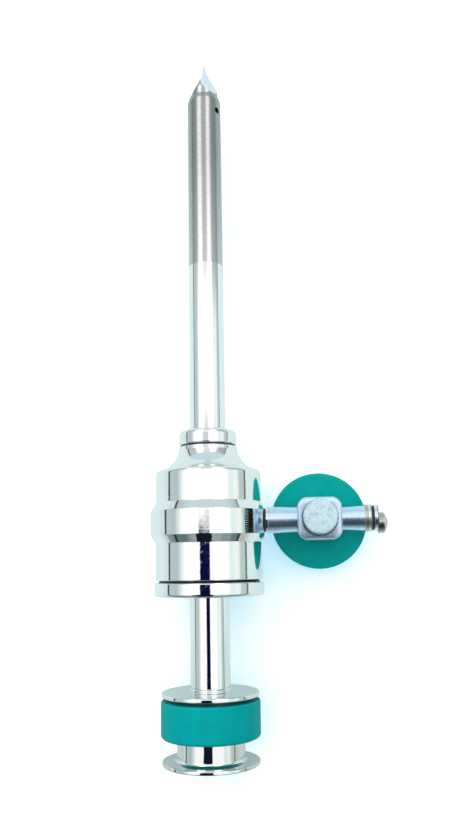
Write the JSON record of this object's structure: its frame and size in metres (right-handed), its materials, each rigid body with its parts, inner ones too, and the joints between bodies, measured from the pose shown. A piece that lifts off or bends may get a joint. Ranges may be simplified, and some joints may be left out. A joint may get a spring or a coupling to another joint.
{
  "type": "laparoscopic trocar",
  "caption": "Reusable trocar: pointed obturator in a valved cannula with a flared housing, side gas stopcock and a spool-shaped grip knob.",
  "frame": {"origin": "centre of the knob's flat end face", "axes": "+Z along the instrument from the knob to the tip, +X along the stopcock's outlet, -Y towards the stopcock's knurled nut"},
  "size_m": [0.0782, 0.0386, 0.2452],
  "materials": {
    "polished_steel": "mirror polished stainless steel",
    "ground_steel": "polished rod with a hollow-ground point",
    "tube_steel": "polished stainless steel with a matt grey far half",
    "inner_steel": "plain turned stainless steel",
    "satin_steel": "satin, cool blue-grey",
    "warm_steel": "turned, slightly warm grey",
    "bead_blasted_steel": "pale bead-blasted top and straight knurling",
    "teal_polymer": "smooth teal polymer",
    "black_rubber": "black elastomer",
    "silicone": "translucent grey silicone",
    "magnet": "sintered and plated ring magnet"
  },
  "bodies": {
    "cannula": {"cannula_tube": "tube_steel", "collar_nut": "polished_steel", "collar_gasket": "black_rubber", "valve_housing": "polished_steel", "end_cap": "polished_steel", "cap_oring": "black_rubber", "stop_washer": "inner_steel", "valve_cartridge": "inner_steel", "valve_magnet": "magnet", "flap_pin": "inner_steel", "boss_oring": "black_rubber", "boss_washer": "polished_steel", "stopcock_body": "satin_steel", "outlet_gasket": "black_rubber", "outlet_nozzle": "warm_steel"},
    "seal": {"lip_seal": "silicone"},
    "obturator": {"obturator_shaft": "ground_steel", "neck_sleeve": "polished_steel", "thrust_disc": "polished_steel", "knob_hub": "polished_steel", "grip_ring": "teal_polymer"},
    "flap": {"valve_flap": "inner_steel", "flap_gasket": "silicone"},
    "tap": {"stopcock_plug": "warm_steel", "handle_disc": "teal_polymer", "handle_screw": "warm_steel", "plug_spring": "inner_steel", "knurled_nut": "bead_blasted_steel"}
  },
  "joints": [
    {"name": "obturator_spin", "type": "hinge", "parent": "cannula", "child": "seal", "pos_m": [0, 0, 0.056], "axis": [0, 0, 1], "continuous": true},
    {"name": "obturator_slide", "type": "slide", "parent": "seal", "child": "obturator", "axis": [0, 0, -1], "range_m": [0, 0.2]},
    {"name": "flap_hinge", "type": "hinge", "parent": "cannula", "child": "flap", "pos_m": [-0.0094, 0, 0.0694], "axis": [0, -1, 0], "range_deg": [0, 12]},
    {"name": "tap_turn", "type": "hinge", "parent": "cannula", "child": "tap", "pos_m": [0.03675, 0, 0.07575], "axis": [0, 1, 0], "continuous": true}
  ]
}
